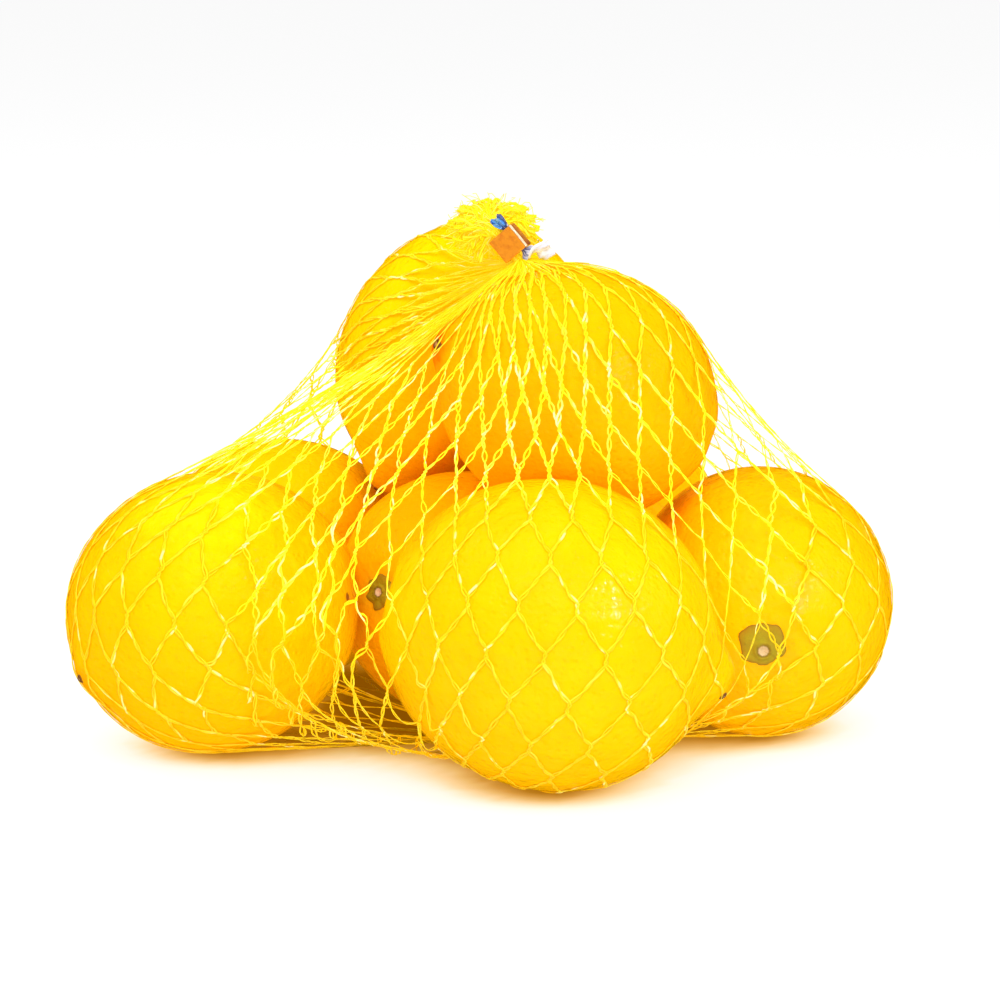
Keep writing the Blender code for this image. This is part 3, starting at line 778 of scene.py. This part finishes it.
def pleats_piece(count):
    """Folds of the gathered net near the clip: threads that start between two strands and run into one of them."""
    kept = []
    for _ in range(count):
        f, i = rng.integers(2), rng.integers(WALES)
        ang = (2 * np.pi * i / WALES + SPIN) % (2 * np.pi)
        long_side = np.exp(-((ang - 3.05) / 1.0) ** 2)                 # the net is gathered most to the left
        if rng.uniform() > 0.40 + 0.60 * long_side:
            continue
        ends = int((SEGS + 1) * rng.uniform(0.9, 1.9 + 4.4 * long_side ** 2))
        ctrl = pts[paths[f][[i, (i + 1) % WALES], :ends + 2]]
        fine, at = smooth_path(ctrl, [2] * (ends + 1))
        along = np.linspace(0, 1, 28) * rng.uniform(0.80, 1.0)
        fine = np.stack([[np.interp(along * at[-1], at, side[:, k]) for k in range(3)] for side in fine]).transpose(0, 2, 1)
        share = rng.uniform(0.15, 0.85) * (1 - along ** 2)
        p = fine[0] * (1 - share[:, None]) + fine[1] * share[:, None]
        p = p + rng.normal(size=3) * 0.25 * np.sin(np.pi * along)[:, None]
        kept.append(p)
    p = np.array(kept)
    flat = p.reshape(-1, 3)
    rise = np.repeat(rng.uniform(0.25, 0.75, len(p)), p.shape[1])
    for lemon in lemons:
        q = lemon.local(flat)
        dist = np.linalg.norm(q, axis=1)
        d = q / dist[:, None]
        want = lemon.reach(d) + rise
        low = dist < want
        flat[low] = lemon.world(d[low] * want[low][:, None])
    p = flat.reshape(p.shape)
    out = outward(flat).reshape(p.shape)
    inside = in_clip(flat, 0.1).reshape(p.shape[:2])[:, 2:].any(1)
    p, out = p[~inside], out[~inside]
    return thread_group("net_pleats", p, 0.24, 0.09, net_matted, 0.45 + 0.12 * rng.normal(size=(len(p), 1)), out_dir=out)


TUFT = np.array([2.2, 2.8, 106.2])
for ob in (neck_piece(), pleats_piece(600),
           tuft_piece("net_frayed_end", 370, TUFT, np.array([10.2, 5.2, 6.9]), 0.31, 0.12, 0.40, 0.56, 4, True, 5),
           tuft_piece("net_stray_fibres", 340, TUFT, np.array([11.4, 6.0, 7.6]), 0.085, 0.07, 0.8, 0.80, 3, False, 9)):
    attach(ob, "root")


# ============================================================ stem ends and scars
def stem_material():
    m = Nodes("stem_end")
    tint = m.add("ShaderNodeAttribute", attribute_name="tint").outputs["Fac"]
    where = m.add("ShaderNodeTexCoord").outputs["Object"]
    grain = m.noise(where, 1500.0, 3.0, 0.7)
    colour = m.ramp(tint, [(0.0, (0.86, 0.70, 0.44)), (0.19, (0.86, 0.70, 0.42)), (0.25, (0.26, 0.19, 0.02)),
                           (0.36, (0.40, 0.36, 0.006)), (0.70, (0.42, 0.36, 0.005)), (0.92, (0.42, 0.29, 0.005)), (1.0, (0.30, 0.15, 0.006))])
    colour = m.mix(m.ramp(grain, [(0.50, (0, 0, 0)), (0.78, (0.5, 0.5, 0.5))]), colour, (0.22, 0.18, 0.010))
    colour = m.mix(m.ramp(m.noise(where, 260.0, 2.0), [(0.40, (0, 0, 0)), (0.66, (0.40, 0.40, 0.40))]), colour, (0.40, 0.22, 0.006))
    m.link(colour, m.shader.inputs["Base Color"])
    bump = m.bump(grain, 0.7, 0.0003)
    m.link(bump.outputs[0], m.shader.inputs["Normal"])
    m.shader.inputs["Roughness"].default_value = 0.65
    m.shader.inputs["Specular IOR Level"].default_value = 0.3
    return m.mat


def scar_material():
    m = Nodes("nipple_scar")
    tint = m.add("ShaderNodeAttribute", attribute_name="tint").outputs["Fac"]
    colour = m.ramp(tint, [(0.0, (0.62, 0.36, 0.14)), (0.35, (0.45, 0.22, 0.07)), (0.6, (0.10, 0.035, 0.012)), (1.0, (0.34, 0.12, 0.01))])
    m.link(colour, m.shader.inputs["Base Color"])
    m.shader.inputs["Roughness"].default_value = 0.7
    m.shader.inputs["Specular IOR Level"].default_value = 0.2
    return m.mat


stem_mat, scar_mat = stem_material(), scar_material()


def cap_on_peel(name, lemon, end, profile, size, tint_of, material, seed, rings=18, around=60, lean=(0.0, 0.0)):
    """A small closed cap lying on the peel at one end of a lemon. profile(r, phi) gives its height above
    the peel in mm and its edge factor; r runs 0..1 from the middle to its edge."""
    r0 = np.random.default_rng(seed)
    rr = np.concatenate([[0.0], np.linspace(0, 1, rings + 1)[1:]])
    phi = np.linspace(0, 2 * np.pi, around, endpoint=False)
    R, P = np.meshgrid(rr[1:], phi, indexing="ij")
    edge, height = profile(R, P, r0)
    flat = size * R * edge
    ang = flat / (lemon.half * 1.0)
    x = np.sin(ang) * np.cos(P) + lean[0]
    y = np.sin(ang) * np.sin(P) + lean[1]
    z = end * np.sqrt(np.maximum(0, 1 - x * x - y * y))
    d = np.stack([x, y, z], -1)
    top = d * (lemon.reach(d) + height)[..., None]
    under = d * (lemon.reach(d) - 0.35)[..., None]
    c = np.array([[lean[0], lean[1], end * math.sqrt(1 - lean[0] ** 2 - lean[1] ** 2)]])
    e0, h0 = profile(np.array([[0.001]]), np.array([[0.0]]), r0)
    cr = lemon.reach(c)
    centre_top, centre_low = c * (cr + h0.ravel())[:, None], c * (cr - 0.35)[:, None]
    verts = lemon.world(np.concatenate([top.reshape(-1, 3), under.reshape(-1, 3), centre_top, centre_low]))
    n, m = rings, around
    a = np.arange(n - 1)[:, None] * m + np.arange(m)[None]
    b = np.arange(n - 1)[:, None] * m + (np.arange(m)[None] + 1) % m
    q1 = np.stack([a, a + m, b + m, b], -1).reshape(-1, 4)
    q2 = q1[:, ::-1] + n * m
    k = np.arange(m)
    rim = (n - 1) * m
    q3 = np.stack([rim + k, rim + n * m + k, rim + n * m + (k + 1) % m, rim + (k + 1) % m], -1)
    t1 = np.stack([np.full(m, 2 * n * m), k, (k + 1) % m], -1)
    t2 = np.stack([np.full(m, 2 * n * m + 1), n * m + (k + 1) % m, n * m + k], -1)
    quads, tris = np.concatenate([q1, q2, q3]), np.concatenate([t1, t2])
    if end < 0:
        quads, tris = quads[:, ::-1], tris[:, ::-1]
    tint = tint_of(R, P)
    tints = np.concatenate([tint.ravel(), tint.ravel(), [tint_of(np.array([0.0]), np.array([0.0]))[0]] * 2])
    return mesh_object(name, verts, [quads, tris], material, tints=tints)


def calyx(lemon, size, seed, lobes=5, lean=(0.0, 0.0), skew=0.0, way=0.0):
    r1 = np.random.default_rng(seed)
    p0 = r1.uniform(0, 6.28)
    lobe_len = r1.uniform(0.8, 1.15, lobes)
    def profile(R, P, _):
        k = (P + p0) * lobes / (2 * np.pi)
        which = np.floor(k).astype(int) % lobes
        inside = np.abs(np.sin(np.pi * k))                     # 0 between lobes, 1 at a lobe's tip
        edge = 0.88 + 0.12 * inside ** 2 * lobe_len[which] + 0.03 * np.sin(7 * P + seed) + 0.02 * np.sin(13 * P)
        edge = edge * (1 + skew * np.cos(P - way))
        height = 0.50 * (1 - R ** 4) + 0.45 * np.exp(-((R * edge - 0.33) / 0.08) ** 2) \
            - 0.20 * np.exp(-(R * edge / 0.10) ** 2) + 0.30 * (R * edge < 0.25) + 0.14 * inside * R
        height = height + 0.08 * np.sin(9 * P + 4 * R) * R * (1 - 0.5 * R) + 0.05 * np.sin(23 * P + seed) * R * (1 - R)
        return edge, height
    def tint(R, P):
        edge = (0.88 + 0.12 * np.abs(np.sin(np.pi * (P + p0) * lobes / (2 * np.pi))) ** 2) * (1 + skew * np.cos(P - way))
        return np.clip(np.where(R * edge < 0.30, R * edge * 1.02, 0.306 + (R - 0.30 / edge) / (1 - 0.30 / edge) * 0.694), 0, 1)
    return cap_on_peel("stem_" + lemon.name, lemon, -1, profile, size, tint, stem_mat, seed, lean=lean)


SCAR_AT = {"upper_right": (0.075, 0.0), "front": (-0.075, -0.085)}      # turned a little towards the front


def scar(lemon, size, seed):
    def profile(R, P, _):
        edge = 1 + 0.10 * np.sin(3 * P + seed) + 0.06 * np.sin(7 * P)
        height = 0.10 * (1 - R ** 4) + 0.28 * np.exp(-((R - 0.62) / 0.16) ** 2) + 0.16 * np.exp(-(R / 0.28) ** 2)
        return edge, height
    return cap_on_peel("scar_" + lemon.name, lemon, 1, profile, size, lambda R, P: R, scar_mat, seed,
                       rings=10, around=28, lean=tuple(lemon.lean + np.array(SCAR_AT.get(lemon.name, (0.0, 0.0)))))


for n, lemon in enumerate(lemons):
    size = {"right": 4.9, "middle": 3.9}.get(lemon.name, 3.9)
    tilt = {"lean": (0.030, 0.006), "skew": 0.32, "way": 1.40} if lemon.name == "right" else {"skew": 0.10, "way": n}
    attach(calyx(lemon, size, 40 + n, 5 if n % 3 else 6, **tilt), "root")
    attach(scar(lemon, {"upper_right": 1.15, "front": 0.8}.get(lemon.name, 0.95), 60 + n), "root")


# =========================================================== clip and label film
def resample(path, step):
    path = np.array(path, float)
    run = np.concatenate([[0], np.cumsum(np.linalg.norm(np.diff(path, axis=0), axis=1))])
    at = np.linspace(0, run[-1], int(run[-1] / step) + 1)
    return np.stack([np.interp(at, run, path[:, k]) for k in range(path.shape[1])], 1), at / run[-1]


def clip_material():
    m = Nodes("clip_copper")
    tint = m.add("ShaderNodeAttribute", attribute_name="tint").outputs["Fac"]
    where = m.add("ShaderNodeTexCoord").outputs["Object"]
    cloud = m.noise(where, 900.0, 3.0, 0.6)
    # painted highlight: the cream stops near the top of the ramp; painted shade: the darker copper stops
    colour = m.ramp(tint, [(0.0, (1.0, 0.36, 0.018)), (0.30, (1.0, 0.36, 0.018)), (0.36, (0.80, 0.24, 0.030)), (0.60, (0.46, 0.13, 0.035)), (0.72, (0.46, 0.13, 0.035)), (0.80, (1.0, 0.82, 0.50)), (1.0, (1.0, 0.86, 0.58))])
    colour = m.mix(m.ramp(cloud, [(0.45, (0, 0, 0)), (0.75, (0.6, 0.6, 0.6))]), colour, (0.70, 0.15, 0.012))
    m.link(colour, m.shader.inputs["Base Color"])
    bump = m.bump(cloud, 0.35, 0.0002)
    m.link(bump.outputs[0], m.shader.inputs["Normal"])
    m.shader.inputs["Roughness"].default_value = 0.22
    m.shader.inputs["Metallic"].default_value = 0.25
    m.shader.inputs["Specular IOR Level"].default_value = 0.9
    return m.mat


def clip_piece():
    """The folded band: round folds, thinned edges, a seam at the back, small dents from the pliers."""
    half_w, half_d, sheet, corner, seam, long_ = 3.2, 1.85, 0.55, 0.80, 0.5, 5.7
    inset = sheet / 2
    path = [(-seam / 2 - 0.05, -half_d + inset + 0.30), (-seam / 2 - 0.45, -half_d + inset + 0.05),
            (-seam / 2 - 1.10, -half_d + inset)]
    for cx, cy, start in ((-half_w + corner, -half_d + corner, 270), (-half_w + corner, half_d - corner, 180),
                          (half_w - corner, half_d - corner, 90), (half_w - corner, -half_d + corner, 0)):
        for k in range(13):
            a = math.radians(start - 90 * k / 12)
            path.append((cx + (corner - inset) * math.cos(a), cy + (corner - inset) * math.sin(a)))
    path += [(seam / 2 + 1.10, -half_d + inset), (seam / 2 + 0.45, -half_d + inset + 0.05),
             (seam / 2 + 0.05, -half_d + inset + 0.30)]
    line, at = resample(path, 0.14)
    run = unit_rows(np.gradient(line, axis=0))
    out = np.stack([-run[:, 1], run[:, 0]], 1)
    # ring of one cut through the sheet: (along the clip, across the sheet)
    ends = [(math.sin(math.radians(a)), math.cos(math.radians(a))) for a in (0, 30, 60, 90, 120, 150, 180)]
    flat = np.linspace(-1, 1, 15)
    cut = [(f * (long_ / 2 - 0.18), 1.0) for f in flat[:-1]]
    cut += [(long_ / 2 - 0.18 + 0.18 * c, d) for c, d in ends[:-1]]
    cut += [(f * (long_ / 2 - 0.18), -1.0) for f in flat[::-1][:-1]]
    cut += [(-long_ / 2 + 0.18 - 0.18 * c, -d) for c, d in ends[:-1]]
    cut = np.array(cut)
    r = np.random.default_rng(77)
    u, v = line[:, None, 0], line[:, None, 1]
    along, across = cut[None, :, 0], cut[None, :, 1]
    dent = 0.05 * np.sin(1.3 * u + 0.9 * along + 0.4) + 0.04 * np.sin(2.3 * along - 1.7 * u + 2.0)
    press = 0.10 * np.cos(np.pi * along / long_) * (v > 0) + 0.07 * np.exp(-((along + 0.3) / 0.5) ** 2) * (v > 0) * (np.abs(u) < 2.2)
    x = u + out[:, None, 0] * across * sheet / 2 * 0.94
    y = v + out[:, None, 1] * across * sheet / 2 * 0.94 - press + dent * (np.abs(out[:, None, 1]) > 0.5)
    p = (CLIP_MIDDLE + x[..., None] * CLIP_SIDE + y[..., None] * CLIP_FACE
         + (along + 0 * x)[..., None] * CLIP_AXIS)
    n, m = len(line), len(cut)
    k = np.arange(m)
    base = np.arange(n - 1)[:, None] * m
    quads = np.stack([base + k, base + m + k, base + m + (k + 1) % m, base + (k + 1) % m], -1).reshape(-1, 4)
    mid0, mid1 = n * m, n * m + 1
    verts = np.concatenate([p.reshape(-1, 3), p[0].mean(0)[None], p[-1].mean(0)[None]])
    t0 = np.stack([np.full(m, mid0), k, (k + 1) % m], -1)
    t1 = np.stack([np.full(m, mid1), (n - 1) * m + (k + 1) % m, (n - 1) * m + k], -1)
    around = np.degrees(np.arctan2(out[:, None, 1], out[:, None, 0])) + 0 * along       # 90 is the front, 0 the right side
    # painted highlight on the right front fold (0.92); painted shade on the right side, the left side and the back
    # (0.40 to 0.62)
    tint = np.interp(around, [-40, -20, 18, 26, 62, 70, 120, 150, 175], [0.45, 0.62, 0.62, 0.92, 0.92, 0.10, 0.10, 0.40, 0.60])
    tint = np.where(around < -40, 0.45, tint) + 0.05 * np.sin(2.1 * along + u)
    tint = np.where((v > 0) | (u > 0), tint, 0.5)
    tint = np.concatenate([tint.ravel(), [0.4, 0.4]])
    return mesh_object("clip_band", verts, [quads, np.concatenate([t0, t1])], clip_material(), tints=tint)


def film_material():
    m = Nodes("film")
    tint = m.add("ShaderNodeAttribute", attribute_name="tint").outputs["Fac"]
    colour = m.ramp(tint, [(0.0, (0.90, 0.89, 0.93)), (0.16, (0.66, 0.67, 0.80)), (0.30, (0.14, 0.17, 0.34)),
                           (0.42, (0.02, 0.05, 0.22)), (0.56, (0.05, 0.22, 0.72)), (0.72, (0.22, 0.55, 0.95)),
                           (0.86, (0.45, 0.78, 0.90)), (0.93, (0.55, 0.80, 0.42)), (1.0, (0.92, 0.95, 0.97))])
    m.link(colour, m.shader.inputs["Base Color"])
    m.shader.inputs["Roughness"].default_value = 0.22
    m.shader.inputs["Specular IOR Level"].default_value = 0.6
    return m.mat


def film_piece():
    """The strip of film through the clip: both ends crumpled, the short upper one blue, the longer lower one white."""
    start = CLIP_MIDDLE + CLIP_SIDE * 1.64 + CLIP_FACE * 0.50
    half, wide0 = 2.85, 1.25
    right = unit((0.88, -0.38, 0.44))
    low_end = start - CLIP_AXIS * (half + 0.2)
    rows = []                                         # centre, span, width, pleat, way, place along
    centre, low, n_low = low_end.copy(), [], 40
    for s in range(1, n_low + 1):
        f = s / n_low
        way = unit(-(1 - f) ** 3 * CLIP_AXIS + (0.3 + f) * right + 0.4 * (1 - f) * CLIP_FACE)
        centre = centre + way * (7.2 / n_low)
        wide = wide0 + (3.3 - wide0) * min(1.0, 9.0 * f) + 0.5 * min(1.0, 1.5 * f) - 1.3 * max(0.0, f - 0.7)
        span = unit((1 - f) * (-CLIP_SIDE) + f * unit((0.16, -0.25, 0.92)))
        low.append((centre.copy(), span, wide, min(1, f * 1.6), way, -f))
    rows += low[::-1]
    for s in range(9):
        f = s / 8
        rows.append((low_end + (start + CLIP_AXIS * half - low_end) * f, -CLIP_SIDE, wide0, 0.0, -CLIP_AXIS, 0.0))
    centre, n_top = start + CLIP_AXIS * half, 26
    for s in range(1, n_top + 1):
        f = s / n_top
        way = unit(CLIP_AXIS + (0.55 + 0.45 * f) * CLIP_FACE + 0.05 * f * CLIP_SIDE)
        centre = centre + way * (3.9 / n_top)
        wide = wide0 + 1.4 * math.sin(math.pi * min(1.0, 0.62 * f + 0.05))
        rows.append((centre.copy(), -CLIP_SIDE, wide, min(1, f * 1.8), -way, f))
    across = 30
    u = np.linspace(-0.5, 0.5, across + 1)
    top, under, tint = [], [], []
    for c, span, wide, fold, way, f in rows:
        span = unit(span - (span @ way) * way)
        normal = unit(np.cross(span, way))
        a = abs(f)
        zig = lambda x: 2 / np.pi * np.arcsin(np.sin(x))           # sharp folds
        bend = 0.42 * zig(2 * np.pi * 1.6 * u + 2.2 * a + (0.6 if f < 0 else 2.0)) + 0.20 * zig(2 * np.pi * 3.1 * u - 7.0 * a + 1.0)
        bend = bend + 0.22 * zig(8.0 * a + 3 * u) + 0.10 * zig(19.0 * a - 5 * u)
        ragged = 1.0
        mid = c + np.outer(u * wide * ragged, span) + np.outer(bend * fold, normal)
        mid = mid + np.outer(0.35 * fold * np.sin(9 * u + 5 * a) * a, way) * (-1 if f > 0 else 1)
        top.append(mid + normal * 0.06)
        under.append(mid - normal * 0.06)
        if f < -1e-6:
            # painted shade: the white end is greyer on one face of each fold
            t = 0.02 + 0.10 * (zig(2 * np.pi * 1.6 * u + 2.2 * a + 0.6) < -0.2) + 0.32 * np.clip(1 - a / 0.34, 0, 1) * (0.4 + 0.6 * np.sin(14 * u + 9 * a) ** 2)
            t = t + 0.22 * np.exp(-((u - 0.10 - 0.35 * a) / 0.06) ** 2) * np.clip(1 - a / 0.75, 0, 1)
        elif f > 1e-6:
            t = 0.62 + 0.0 * u
            t = t - 0.30 * np.exp(-((u + 0.42) / 0.13) ** 2) - 0.28 * np.exp(-((a - 0.08) / 0.10) ** 2)
            t = t + 0.24 * np.exp(-(((u - 0.22) / 0.14) ** 2 + ((a - 0.62) / 0.14) ** 2)) + 0.30 * np.exp(-(((u + 0.12) / 0.10) ** 2 + ((a - 0.88) / 0.10) ** 2))
            t = t - 0.22 * np.exp(-(((u - 0.05 - 0.3 * a) / 0.05) ** 2))
        else:
            t = 0.30 + 0 * u
        tint.append(np.clip(t, 0, 1))
    top, under, tint = np.array(top), np.array(under), np.array(tint)
    n, m = top.shape[:2]
    a = np.arange(n - 1)[:, None] * m + np.arange(m - 1)[None]
    q1 = np.stack([a, a + 1, a + m + 1, a + m], -1).reshape(-1, 4)
    q2 = q1[:, ::-1] + n * m
    r0 = np.arange(n - 1) * m
    left = np.stack([r0, r0 + m, r0 + m + n * m, r0 + n * m], -1)
    r1 = r0 + m - 1
    right_ = np.stack([r1, r1 + n * m, r1 + m + n * m, r1 + m], -1)
    c0 = np.arange(m - 1)
    first = np.stack([c0, c0 + n * m, c0 + 1 + n * m, c0 + 1], -1)
    c1 = c0 + (n - 1) * m
    last = np.stack([c1, c1 + 1, c1 + 1 + n * m, c1 + n * m], -1)
    verts = np.concatenate([top.reshape(-1, 3), under.reshape(-1, 3)])
    return mesh_object("label_film_strip", verts, np.concatenate([q1, q2, left, right_, first, last]), film_material(),
                       tints=np.concatenate([tint.ravel(), tint.ravel()]))


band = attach(clip_piece(), "root")
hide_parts("clip")
film = film_piece()
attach(film, "root")
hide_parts("label_film")


# ======================================================= floor, lights, camera
WORLD = 0.546

def openness_of(p):
    """Share of the soft light, mostly from the front and above, that reaches points p on the table."""
    n = 220
    k = np.arange(n) + 0.5
    el, az = np.arcsin(np.sqrt(k / n)), k * 2.39996
    d = np.stack([np.cos(az) * np.cos(el), np.sin(az) * np.cos(el), np.sin(el)], 1)
    weight = 1 + FRONT_BIAS * np.maximum(-d[:, 1], 0)
    clear = np.ones((len(p), n), bool)
    for lemon in lemons:
        v = (lemon.c * MM - p)
        b = v @ d.T
        away = (v * v).sum(1)[:, None] - b * b
        r = (0.35 * lemon.half + 0.65 * lemon.radius) * MM
        clear &= ~((b > 0) & (away < r * r))
    return (clear * weight).sum(1) / weight.sum()


FRONT_BIAS = 4.0
def tone(r, g, b):
    """The light value of a colour as seen on the screen."""
    return tuple(((v / 255 + 0.055) / 1.055) ** 2.4 if v > 10 else v / 255 / 12.92 for v in (r, g, b))


# painted floor shadows: the floor colour for each openness, from deep shade to white
PAINTED_FLOOR_SHADOWS = [(0.00, (130, 78, 0)), (0.10, (148, 93, 4)), (0.20, (176, 121, 28)), (0.28, (203, 152, 66)), (0.36, (223, 184, 110)),
               (0.45, (239, 212, 160)), (0.54, (250, 234, 206)), (0.63, (253, 247, 238)), (0.71, (254, 252, 250)), (0.80, (255, 255, 255))]


def floor_stops(share, direct):
    stops = []
    for at, shade in PAINTED_FLOOR_SHADOWS:
        t = np.array(tone(*shade))
        lit = min(1.0, max(at - 0.12, 0.0) * 1.6) * direct
        stops.append((at, tuple(np.clip(t * share - lit * t, 0, 1))))
    return stops


gx = np.concatenate([[-8, -3, -1, -0.5, -0.32, -0.24], np.arange(-0.18, 0.1801, 0.003), [0.24, 0.32, 0.5, 1, 3, 8]])
gy = gx.copy()
GX, GY = np.meshgrid(gx, gy)
spots = np.stack([GX.ravel(), GY.ravel(), np.zeros(GX.size)], 1)
# painted shadows: how open each point of the floor is, made darker inside the ring of resting places
deep = depth_inside(spots)
off = spots[:, :2] / MM
deep = np.where(off[:, 1] > 20, deep * np.exp(-((off[:, 0] + 27) / 20) ** 2) * np.clip((75 - off[:, 1]) / 20, 0, 1), deep)
opening = openness_of(spots) - 0.12 * np.clip(deep / 20, -0.5, 1.4) - 0.5 * np.clip((deep - 26) / 12, 0, 1)
hollow = np.exp(-((off[:, 0] + 21) / 17) ** 2) * (off[:, 1] < 20)          # painted shadow, deepened in front of the gap between two lemons
opening -= 0.09 * hollow * np.clip((deep - 8) / 8, 0, 1) * np.clip((32 - deep) / 8, 0, 1)
opening = np.clip(opening + 0.15, 0, 1)
k = np.arange(len(gy) - 1)[:, None] * len(gx) + np.arange(len(gx) - 1)[None]
floor = mesh_object("floor", spots / MM, np.stack([k, k + 1, k + len(gx) + 1, k + len(gx)], -1).reshape(-1, 4),
                    None, tints=opening)
floor_m = Nodes("floor_painted_shadows")
how_open = floor_m.add("ShaderNodeAttribute", attribute_name="tint").outputs["Fac"]
floor_m.link(floor_m.ramp(how_open, [(at, tuple(0.30 * np.array(tone(*shade)))) for at, shade in PAINTED_FLOOR_SHADOWS]),
             floor_m.shader.inputs["Base Color"])
floor_m.shader.inputs["Roughness"].default_value = 0.7
floor_m.shader.inputs["Specular IOR Level"].default_value = 0.0
# painted glow: the floor's emission lights the open floor white and keeps the painted shadows
glow = floor_m.ramp(how_open, floor_stops(1.0, 0.22))
floor_m.link(glow, floor_m.shader.inputs["Emission Color"])
floor_m.shader.inputs["Emission Strength"].default_value = 1.0
floor.data.materials[0] = floor_m.mat
floor.visible_glossy = False

world = bpy.data.worlds.new("studio")
world.use_nodes = True
world.node_tree.nodes["Background"].inputs["Color"].default_value = (1, 1, 1, 1)
world.node_tree.nodes["Background"].inputs["Strength"].default_value = WORLD
world.cycles_visibility.glossy = False
bpy.context.scene.world = world


def area(name, place, target, size, watts, glossy=False):
    light = bpy.data.lights.new(name, "AREA")
    light.energy = watts
    light.shape = "RECTANGLE"
    light.size, light.size_y = size
    ob = bpy.data.objects.new(name, light)
    ob.location = place
    ob.rotation_euler = (Vector(target) - Vector(place)).to_track_quat("-Z", "Y").to_euler()
    ob.visible_glossy = glossy
    bpy.context.scene.collection.objects.link(ob)
    return ob


area("top", (-0.1, 0.0, 1.1), (0, 0, 0.05), (0.8, 0.8), 3.2)
area("front_top", (0, -0.85, 0.85), (0, 0, 0.05), (0.9, 0.6), 6.35)
area("front_low", (0.12, -1.0, 0.10), (0, 0, 0.04), (0.5, 0.22), 1.3)
area("left_top", (-0.75, 0.05, 0.85), (0, 0, 0.05), (0.6, 0.6), 3.4)
area("right", (1.0, -0.3, 0.55), (0, 0, 0.05), (0.6, 0.6), 3.2)
area("glint", (0.62, -0.60, 0.52), (0.01, -0.03, 0.05), (0.040, 0.040), 1.05, glossy=True)

cam_data = bpy.data.cameras.new("camera")
cam_data.lens = 144.0
cam_data.sensor_width = 36.0
cam = bpy.data.objects.new("camera", cam_data)
cam.location = (SHIFT[0] * MM, -0.78011174 + SHIFT[1] * MM, 0.21114746)
cam.rotation_euler = (math.radians(79.0), 0.0, 0.0)
bpy.context.scene.collection.objects.link(cam)
bpy.context.scene.camera = cam

view = bpy.context.scene.view_settings
view.view_transform = "Standard"
view.look = "None"
view.exposure = 0.0
view.gamma = 1.0
